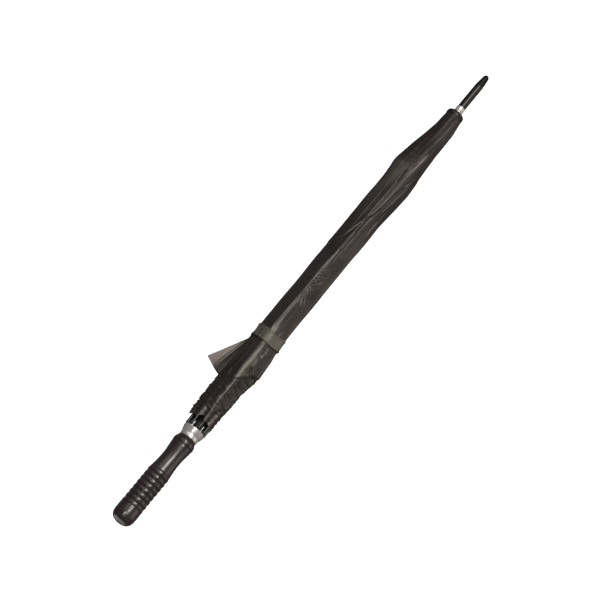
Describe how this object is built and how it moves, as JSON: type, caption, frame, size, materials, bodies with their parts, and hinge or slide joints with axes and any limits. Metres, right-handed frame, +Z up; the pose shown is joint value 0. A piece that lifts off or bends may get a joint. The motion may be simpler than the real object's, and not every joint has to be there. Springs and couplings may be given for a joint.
{
  "type": "golf umbrella",
  "caption": "Closed manual golf umbrella with a straight ringed grip, a wrapped canopy held by a tie strap, and a ribbed frame that opens with a sliding runner.",
  "frame": {"origin": "on the shaft's axis, in the middle of the plain cylindrical land at the grip's end", "axes": "+X along the shaft from the handle to the ferrule, +Z up as the umbrella lies on a table"},
  "size_m": [0.986, 0.0804, 0.0497],
  "materials": {
    "canopy_fabric": "satin",
    "handle_gloss": "gloss",
    "black_gloss": "gloss",
    "black_plastic": "satin",
    "bright_chrome": "polished",
    "steel": "satin",
    "strap_fabric": "satin",
    "hook_and_loop": "matt"
  },
  "bodies": {
    "frame": {"shaft": "steel", "handle": "handle_gloss", "tip_cup": "bright_chrome", "ferrule": "black_gloss", "ferrule_collar": "bright_chrome", "ferrule_pin": "bright_chrome", "open_cap": "black_gloss", "crown": "black_plastic", "crown_wire": "steel", "stop_pin": "steel"},
    "runner": {"runner": "black_plastic"},
    "bottom_catch": {"bottom_catch": "steel"},
    "top_catch": {"top_catch": "steel"},
    "rib_1": {"rib_1": "black_gloss", "rib_joint_1": "black_plastic", "rib_tip_1": "black_gloss"},
    "stretcher_1": {"stretcher_1": "steel"},
    "panel_1": {"gore_1": "canopy_fabric"},
    "rib_2": {"rib_2": "black_gloss", "rib_joint_2": "black_plastic", "rib_tip_2": "black_gloss", "strap_band": "strap_fabric", "strap_pad": "hook_and_loop"},
    "stretcher_2": {"stretcher_2": "steel"},
    "panel_2": {"gore_2": "canopy_fabric"},
    "rib_3": {"rib_3": "black_gloss", "rib_joint_3": "black_plastic", "rib_tip_3": "black_gloss"},
    "stretcher_3": {"stretcher_3": "steel"},
    "panel_3": {"gore_3": "canopy_fabric"},
    "rib_4": {"rib_4": "black_gloss", "rib_joint_4": "black_plastic", "rib_tip_4": "black_gloss"},
    "stretcher_4": {"stretcher_4": "steel"},
    "panel_4": {"gore_4": "canopy_fabric"},
    "rib_5": {"rib_5": "black_gloss", "rib_joint_5": "black_plastic", "rib_tip_5": "black_gloss"},
    "stretcher_5": {"stretcher_5": "steel"},
    "panel_5": {"gore_5": "canopy_fabric"},
    "rib_6": {"rib_6": "black_gloss", "rib_joint_6": "black_plastic", "rib_tip_6": "black_gloss"},
    "stretcher_6": {"stretcher_6": "steel"},
    "panel_6": {"gore_6": "canopy_fabric"},
    "rib_7": {"rib_7": "black_gloss", "rib_joint_7": "black_plastic", "rib_tip_7": "black_gloss"},
    "stretcher_7": {"stretcher_7": "steel"},
    "panel_7": {"gore_7": "canopy_fabric"},
    "rib_8": {"rib_8": "black_gloss", "rib_joint_8": "black_plastic", "rib_tip_8": "black_gloss"},
    "stretcher_8": {"stretcher_8": "steel"},
    "panel_8": {"gore_8": "canopy_fabric"},
    "strap_end": {"strap_tab": "strap_fabric"}
  },
  "joints": [
    {"name": "runner_slide", "type": "slide", "parent": "frame", "child": "runner", "axis": [1, 0, 0], "range_m": [0, 0.38], "deforming": ["gore_1", "gore_2", "gore_3", "gore_4", "gore_5", "gore_6", "gore_7", "gore_8", "strap_band", "strap_pad", "bottom_catch", "top_catch"]},
    {"name": "bottom_catch_press", "type": "hinge", "parent": "frame", "child": "bottom_catch", "pos_m": [0.254, 0, 0.0041], "axis": [0, -1, 0], "range_deg": [0, 5.5], "stiffness_Nm_per_rad": 1.2},
    {"name": "top_catch_press", "type": "hinge", "parent": "frame", "child": "top_catch", "pos_m": [0.524, 0, 0.0041], "axis": [0, 1, 0], "range_deg": [0, 5.5], "stiffness_Nm_per_rad": 1.2},
    {"name": "rib_1_swing", "type": "hinge", "parent": "frame", "child": "rib_1", "pos_m": [0.858, 0.00924, 0.00383], "axis": [0, 0.3827, -0.9239], "range_deg": [0, 65.81]},
    {"name": "stretcher_1_swing", "type": "hinge", "parent": "rib_1", "child": "stretcher_1", "pos_m": [0.536, 0.00924, 0.00383], "axis": [0, 0.3827, -0.9239], "range_deg": [-131.62, 0]},
    {"name": "panel_1_spread", "type": "hinge", "parent": "rib_1", "child": "panel_1", "pos_m": [0.858, 0.00765, 0.00765], "axis": [-0.513, 0.607, 0.607], "range_deg": [0, 48]},
    {"name": "rib_2_swing", "type": "hinge", "parent": "frame", "child": "rib_2", "pos_m": [0.858, 0.00383, 0.00924], "axis": [0, 0.9239, -0.3827], "range_deg": [0, 65.81]},
    {"name": "stretcher_2_swing", "type": "hinge", "parent": "rib_2", "child": "stretcher_2", "pos_m": [0.536, 0.00383, 0.00924], "axis": [0, 0.9239, -0.3827], "range_deg": [-131.62, 0]},
    {"name": "panel_2_spread", "type": "hinge", "parent": "rib_2", "child": "panel_2", "pos_m": [0.858, 0, 0.01082], "axis": [-0.513, 0, 0.8584], "range_deg": [0, 48]},
    {"name": "rib_3_swing", "type": "hinge", "parent": "frame", "child": "rib_3", "pos_m": [0.858, -0.00383, 0.00924], "axis": [0, 0.9239, 0.3827], "range_deg": [0, 65.81]},
    {"name": "stretcher_3_swing", "type": "hinge", "parent": "rib_3", "child": "stretcher_3", "pos_m": [0.536, -0.00383, 0.00924], "axis": [0, 0.9239, 0.3827], "range_deg": [-131.62, 0]},
    {"name": "panel_3_spread", "type": "hinge", "parent": "rib_3", "child": "panel_3", "pos_m": [0.858, -0.00765, 0.00765], "axis": [-0.513, -0.607, 0.607], "range_deg": [0, 48]},
    {"name": "rib_4_swing", "type": "hinge", "parent": "frame", "child": "rib_4", "pos_m": [0.858, -0.00924, 0.00383], "axis": [0, 0.3827, 0.9239], "range_deg": [0, 65.81]},
    {"name": "stretcher_4_swing", "type": "hinge", "parent": "rib_4", "child": "stretcher_4", "pos_m": [0.536, -0.00924, 0.00383], "axis": [0, 0.3827, 0.9239], "range_deg": [-131.62, 0]},
    {"name": "panel_4_spread", "type": "hinge", "parent": "rib_4", "child": "panel_4", "pos_m": [0.858, -0.01082, 0], "axis": [-0.513, -0.8584, 0], "range_deg": [0, 48]},
    {"name": "rib_5_swing", "type": "hinge", "parent": "frame", "child": "rib_5", "pos_m": [0.858, -0.00924, -0.00383], "axis": [0, -0.3827, 0.9239], "range_deg": [0, 65.81]},
    {"name": "stretcher_5_swing", "type": "hinge", "parent": "rib_5", "child": "stretcher_5", "pos_m": [0.536, -0.00924, -0.00383], "axis": [0, -0.3827, 0.9239], "range_deg": [-131.62, 0]},
    {"name": "panel_5_spread", "type": "hinge", "parent": "rib_5", "child": "panel_5", "pos_m": [0.858, -0.00765, -0.00765], "axis": [-0.513, -0.607, -0.607], "range_deg": [0, 48]},
    {"name": "rib_6_swing", "type": "hinge", "parent": "frame", "child": "rib_6", "pos_m": [0.858, -0.00383, -0.00924], "axis": [0, -0.9239, 0.3827], "range_deg": [0, 65.81]},
    {"name": "stretcher_6_swing", "type": "hinge", "parent": "rib_6", "child": "stretcher_6", "pos_m": [0.536, -0.00383, -0.00924], "axis": [0, -0.9239, 0.3827], "range_deg": [-131.62, 0]},
    {"name": "panel_6_spread", "type": "hinge", "parent": "rib_6", "child": "panel_6", "pos_m": [0.858, 0, -0.01082], "axis": [-0.513, 0, -0.8584], "range_deg": [0, 48]},
    {"name": "rib_7_swing", "type": "hinge", "parent": "frame", "child": "rib_7", "pos_m": [0.858, 0.00383, -0.00924], "axis": [0, -0.9239, -0.3827], "range_deg": [0, 65.81]},
    {"name": "stretcher_7_swing", "type": "hinge", "parent": "rib_7", "child": "stretcher_7", "pos_m": [0.536, 0.00383, -0.00924], "axis": [0, -0.9239, -0.3827], "range_deg": [-131.62, 0]},
    {"name": "panel_7_spread", "type": "hinge", "parent": "rib_7", "child": "panel_7", "pos_m": [0.858, 0.00765, -0.00765], "axis": [-0.513, 0.607, -0.607], "range_deg": [0, 48]},
    {"name": "rib_8_swing", "type": "hinge", "parent": "frame", "child": "rib_8", "pos_m": [0.858, 0.00924, -0.00383], "axis": [0, -0.3827, -0.9239], "range_deg": [0, 65.81]},
    {"name": "stretcher_8_swing", "type": "hinge", "parent": "rib_8", "child": "stretcher_8", "pos_m": [0.536, 0.00924, -0.00383], "axis": [0, -0.3827, -0.9239], "range_deg": [-131.62, 0]},
    {"name": "panel_8_spread", "type": "hinge", "parent": "rib_8", "child": "panel_8", "pos_m": [0.858, 0.01082, 0], "axis": [-0.513, 0.8584, 0], "range_deg": [0, 48]},
    {"name": "strap_peel", "type": "hinge", "parent": "rib_2", "child": "strap_end", "pos_m": [0.362, 0.01103, 0.02461], "axis": [1, 0, 0], "range_deg": [0, 110]}
  ],
  "couplings": [
    {"joint": "rib_1_swing", "follows": "runner_slide", "rad_per_m": 3.0221},
    {"joint": "stretcher_1_swing", "follows": "runner_slide", "rad_per_m": -6.0443},
    {"joint": "panel_1_spread", "follows": "runner_slide", "rad_per_m": 2.2041},
    {"joint": "rib_2_swing", "follows": "runner_slide", "rad_per_m": 3.0221},
    {"joint": "stretcher_2_swing", "follows": "runner_slide", "rad_per_m": -6.0443},
    {"joint": "panel_2_spread", "follows": "runner_slide", "rad_per_m": 2.2041},
    {"joint": "rib_3_swing", "follows": "runner_slide", "rad_per_m": 3.0221},
    {"joint": "stretcher_3_swing", "follows": "runner_slide", "rad_per_m": -6.0443},
    {"joint": "panel_3_spread", "follows": "runner_slide", "rad_per_m": 2.2041},
    {"joint": "rib_4_swing", "follows": "runner_slide", "rad_per_m": 3.0221},
    {"joint": "stretcher_4_swing", "follows": "runner_slide", "rad_per_m": -6.0443},
    {"joint": "panel_4_spread", "follows": "runner_slide", "rad_per_m": 2.2041},
    {"joint": "rib_5_swing", "follows": "runner_slide", "rad_per_m": 3.0221},
    {"joint": "stretcher_5_swing", "follows": "runner_slide", "rad_per_m": -6.0443},
    {"joint": "panel_5_spread", "follows": "runner_slide", "rad_per_m": 2.2041},
    {"joint": "rib_6_swing", "follows": "runner_slide", "rad_per_m": 3.0221},
    {"joint": "stretcher_6_swing", "follows": "runner_slide", "rad_per_m": -6.0443},
    {"joint": "panel_6_spread", "follows": "runner_slide", "rad_per_m": 2.2041},
    {"joint": "rib_7_swing", "follows": "runner_slide", "rad_per_m": 3.0221},
    {"joint": "stretcher_7_swing", "follows": "runner_slide", "rad_per_m": -6.0443},
    {"joint": "panel_7_spread", "follows": "runner_slide", "rad_per_m": 2.2041},
    {"joint": "rib_8_swing", "follows": "runner_slide", "rad_per_m": 3.0221},
    {"joint": "stretcher_8_swing", "follows": "runner_slide", "rad_per_m": -6.0443},
    {"joint": "panel_8_spread", "follows": "runner_slide", "rad_per_m": 2.2041}
  ]
}
